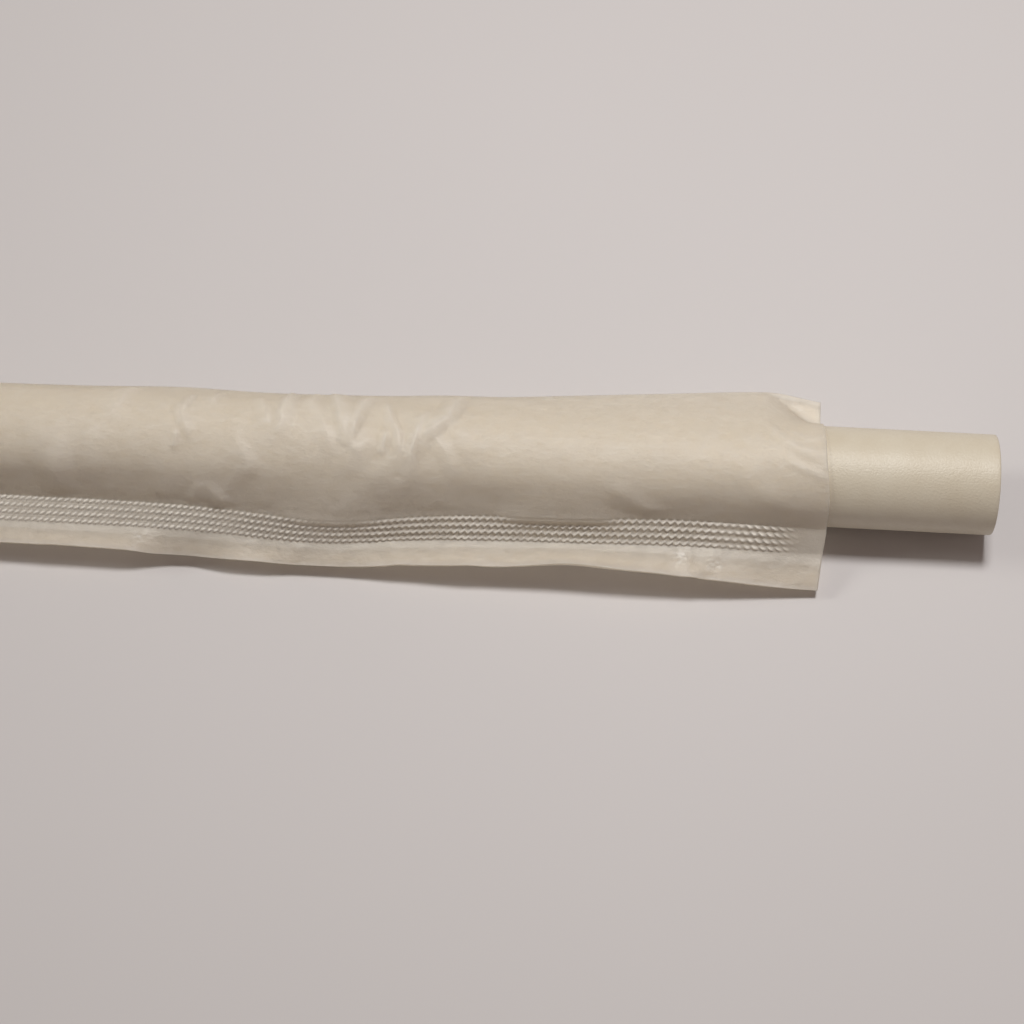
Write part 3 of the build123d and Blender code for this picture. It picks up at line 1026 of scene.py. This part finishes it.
def wrapper_paper():
    material, place = new_material("wrapper_paper")
    clouds = noise(place, 950, (0.6, 1, 1), 4, 0.6)
    fibres = noise(place, 2600, (0.45, 1, 1), 3, 0.6)
    flecks = level(noise(place, 1500, (0.5, 1, 1), 2, 0.5), 0.66, 0.74)
    thick = level(clouds, 0.36, 0.64) * 0.5 + level(fibres, 0.35, 0.65) * 0.5
    proud_painted_light = mark(place, "proud_painted_light")
    # Rubbed spots are shinier, let less light through, and are also painted lighter as a glint.
    rubbed_and_glint = mark(place, "rubbed_and_glint") * level(fibres, 0.42, 0.62)
    colour = thick.mix(SHEET_LIT, SHEET_THICK)
    # Painted light: lighter where the sheet stands proud, and a painted glint where it was rubbed.
    colour = (proud_painted_light * 0.4 + rubbed_and_glint).mix(colour, PAINTED_HIGHLIGHT)
    colour = (flecks * 0.10).mix(colour, FLECK)
    crest_and_highlight, band_shade = mark(place, "crest_and_highlight"), mark(place, "band_shade")
    # Painted shade: the band is darkened between the teeth, but not on their crests.
    colour = (band_shade * (1 - crest_and_highlight) * 0.25).mix(colour, SHADE_BETWEEN_TEETH)
    # Painted highlight: the teeth's crests are mixed to a lighter cream.
    colour = crest_and_highlight.mix(colour, CREST_HIGHLIGHT)
    relief = fibres * 0.25 + clouds * 1.2
    bump = place.node("ShaderNodeBump", None, Strength=0.80, Distance=0.00014, Height=relief)
    normal = place.out(bump)
    roughness = 0.46 + fibres * 0.12 - crest_and_highlight * 0.14 - rubbed_and_glint * 0.16
    surface = place.node(
        "ShaderNodeBsdfPrincipled", None, Base_Color=colour, Roughness=roughness, Normal=normal,
        Specular_IOR_Level=1.0, IOR=1.56,
    )
    through = place.node("ShaderNodeBsdfTranslucent", None, Color=THROUGH, Normal=normal)
    share = 0.75 - thick * 0.16 - crest_and_highlight * 0.52 - proud_painted_light * 0.08 - rubbed_and_glint * 0.30
    share = level(share + mark(place, "inside") * 0.5, 0.0, 1.0)
    mixed = place.node(
        "ShaderNodeMixShader", None, i0=share, i1=place.out(surface), i2=place.out(through)
    )
    place.node("ShaderNodeOutputMaterial", None, Surface=place.out(mixed))
    return material


wrapper.data.materials.append(wrapper_paper())
print("wrapper paper:", len(wrapper.data.materials[0].node_tree.nodes), "nodes")

# %% [markdown]
# ## The straw's paper
#
# Straw paper is thicker and calendered smooth, so it has a soft sheen. The sheen is not one clean
# line: tiny hollows between the fibres break it into grains, which is what tells the eye that
# this is paper and not plastic. Fine noise on roughness and a small bump do that, with no
# picture to load or to stretch round the tube.

# %% Straw paper
STRAW_PALE, STRAW_DEEP = (0.675, 0.62, 0.505, 1), (0.635, 0.57, 0.45, 1)


def straw_paper():
    material, place = new_material("straw_paper")
    clouds = noise(place, 260, (1, 1, 1), 4, 0.55)
    grain = noise(place, 4200, (1, 1, 1), 3, 0.6)
    colour = level(clouds, 0.3, 0.7).mix(STRAW_PALE, STRAW_DEEP)
    relief = grain + clouds * 0.5
    bump = place.node("ShaderNodeBump", None, Strength=0.80, Distance=0.00007, Height=relief)
    surface = place.node(
        "ShaderNodeBsdfPrincipled", None,
        Base_Color=colour, Roughness=0.30 + grain * 0.25, Normal=place.out(bump),
        Specular_IOR_Level=0.5,
    )
    place.node("ShaderNodeOutputMaterial", None, Surface=place.out(surface))
    return material


straw.data.materials.append(straw_paper())
print("straw paper:", len(straw.data.materials[0].node_tree.nodes), "nodes")

# %% [markdown]
# ## Table, lights and camera
#
# The object lies on a plain pale table. One soft lamp is almost overhead, a little behind it. A
# broader one stands far off beyond the closed end, and weak light comes from all round. The
# camera looks down steeply from the seam's side.

# %% The table
TABLE_GREY, TABLE_PALE = (0.632, 0.612, 0.615, 1), (0.652, 0.632, 0.635, 1)


def table_top():
    material, place = new_material("pale_table")
    cloud = noise(place, 14, (1, 1, 1), 2, 0.5)
    colour = cloud.mix(TABLE_GREY, TABLE_PALE)
    surface = place.node(
        "ShaderNodeBsdfPrincipled", None, Base_Color=colour, Roughness=0.6, Specular_IOR_Level=0.2
    )
    place.node("ShaderNodeOutputMaterial", None, Surface=place.out(surface))
    bpy.ops.mesh.primitive_plane_add(size=6, location=(0, 0, -0.00002))
    table = bpy.context.object
    table.name = "table"
    table.data.materials.append(material)
    return table


print("made the", table_top().name)

# %% The lights
CENTRE = Vector((77 * MM, 0, AXIS_Z * MM))  # of the view, on the straw's axis


def lamp(name, direction, distance, size, power, colour):
    """A disc of light that far off in a direction, facing the centre of the view."""
    data = bpy.data.lights.new(name, "AREA")
    data.shape, data.size, data.energy, data.color = "DISK", size, power, colour
    made = bpy.data.objects.new(name, data)
    made.location = CENTRE + Vector(direction).normalized() * distance
    made.rotation_euler = Vector(direction).to_track_quat("Z", "Y").to_euler()
    bpy.context.scene.collection.objects.link(made)
    print(f"{name}: {power} W, {distance} m off")


lamp("overhead", (0.18, 0.24, 0.95), 0.32, 0.064, 0.685, (0.99, 0.97, 0.95))
lamp("side_fill", (-0.84, 0.12, 0.53), 1.2, 0.35, 3.4, (0.98, 0.985, 0.91))
world = bpy.data.worlds.new("room")
bpy.context.scene.world = world
world.use_nodes = True
world.node_tree.nodes["Background"].inputs["Color"].default_value = (1.0, 0.80, 0.73, 1)
world.node_tree.nodes["Background"].inputs["Strength"].default_value = 0.175
bpy.context.scene.view_settings.view_transform = "Standard"

# %% The camera
TILT = math.radians(25)  # from straight down
ROLL = math.radians(2.86)
DISTANCE, LENS = 0.348, 102.4  # metres off, and the focal length in millimetres
AIM_BELOW = 6.1 * MM  # the straw's axis is this far above the middle of the view


def add_camera():
    """Stands the camera off along its line of sight, tilted down and rolled a little."""
    level_up = Vector((0, math.cos(TILT), math.sin(TILT)))
    level_right = Vector((1, 0, 0))
    look = Vector((0, math.sin(TILT), -math.cos(TILT)))
    right = level_right * math.cos(ROLL) + level_up * math.sin(ROLL)
    up = level_up * math.cos(ROLL) - level_right * math.sin(ROLL)
    data = bpy.data.cameras.new("camera")
    data.sensor_width, data.lens = 36, LENS
    data.clip_start, data.clip_end = 0.01, 20
    camera = bpy.data.objects.new("camera", data)
    turn = Matrix((right, up, -look)).transposed()
    stand = CENTRE - level_up * AIM_BELOW - look * DISTANCE
    camera.matrix_world = Matrix.Translation(stand) @ turn.to_4x4()
    bpy.context.scene.collection.objects.link(camera)
    bpy.context.scene.camera = camera
    return camera


camera = add_camera()
print("camera at", [round(v, 4) for v in camera.location])
